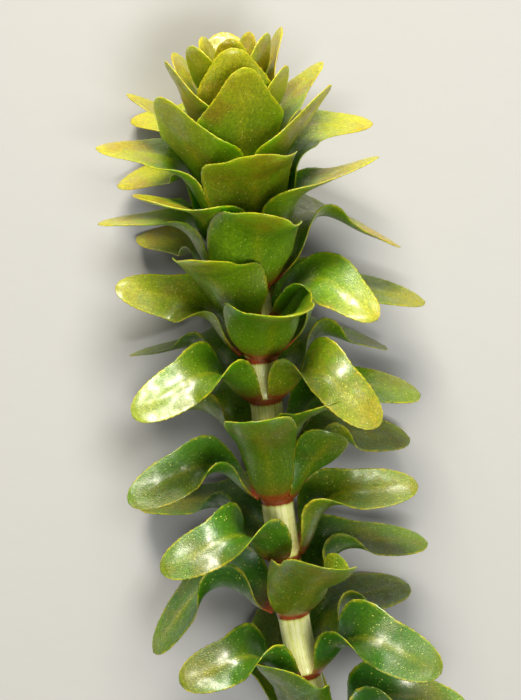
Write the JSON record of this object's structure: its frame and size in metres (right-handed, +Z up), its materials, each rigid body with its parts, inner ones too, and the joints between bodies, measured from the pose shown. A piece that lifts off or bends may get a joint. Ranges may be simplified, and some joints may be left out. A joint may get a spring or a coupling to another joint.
{
  "type": "canadian waterweed shoot tip",
  "caption": "Cut tip of a submerged waterweed shoot: a cream stem with whorls of green curved leaves ending in a leafy bud, lying down.",
  "frame": {"origin": "on the surface the shoot lies on, under the middle of its bounding box", "axes": "+Y along the shoot towards its growing tip, +Z up from the surface, +X to the right as seen from above with the tip away"},
  "size_m": [0.016, 0.0327, 0.0115],
  "materials": {
    "stem": null,
    "leaf": null,
    "bud_leaf": null
  },
  "bodies": {
    "root": {"stem": "stem", "leaf_1_front": "leaf", "leaf_1_right": "leaf", "leaf_1_back": "leaf", "leaf_2_left": "leaf", "leaf_2_right": "leaf", "leaf_2_back": "leaf", "leaf_3_left": "leaf", "leaf_3_front": "leaf", "leaf_3_right": "leaf", "leaf_4_left": "leaf", "leaf_4_right": "leaf", "leaf_4_back": "leaf", "leaf_5_left": "leaf", "leaf_5_front": "leaf", "leaf_5_right": "leaf", "leaf_5_back": "leaf", "leaf_6_front": "leaf", "leaf_6_right": "leaf", "leaf_6_left": "leaf", "leaf_7_left": "leaf", "leaf_7_right": "leaf", "leaf_7_back_right": "leaf", "leaf_7_back_left": "leaf", "leaf_8_left": "leaf", "leaf_8_front": "leaf", "leaf_8_right": "leaf", "leaf_9_front": "leaf", "leaf_9_right": "leaf", "leaf_9_left": "leaf", "leaf_10_left": "leaf", "leaf_10_front": "leaf", "leaf_10_right": "leaf", "leaf_11_left": "leaf", "leaf_11_front": "leaf", "leaf_11_right": "leaf", "leaf_12_left": "leaf", "leaf_12_front": "leaf", "leaf_12_right": "leaf", "leaf_13_left": "leaf", "leaf_13_right": "leaf", "leaf_13_back": "leaf", "bud_leaf_14_left": "bud_leaf", "bud_leaf_14_front": "bud_leaf", "bud_leaf_14_right": "bud_leaf", "bud_leaf_15_left": "bud_leaf", "bud_leaf_15_right": "bud_leaf", "bud_leaf_15_back": "bud_leaf", "bud_leaf_16_front": "bud_leaf", "bud_leaf_16_left": "bud_leaf", "bud_leaf_16_right": "bud_leaf", "bud_leaf_17_left": "bud_leaf", "bud_leaf_17_right": "bud_leaf", "bud_leaf_17_back": "bud_leaf", "bud_leaf_18_front": "bud_leaf", "bud_leaf_18_left": "bud_leaf", "bud_leaf_18_right": "bud_leaf", "bud_leaf_19_front": "bud_leaf", "bud_leaf_19_back": "bud_leaf"}
  },
  "joints": []
}
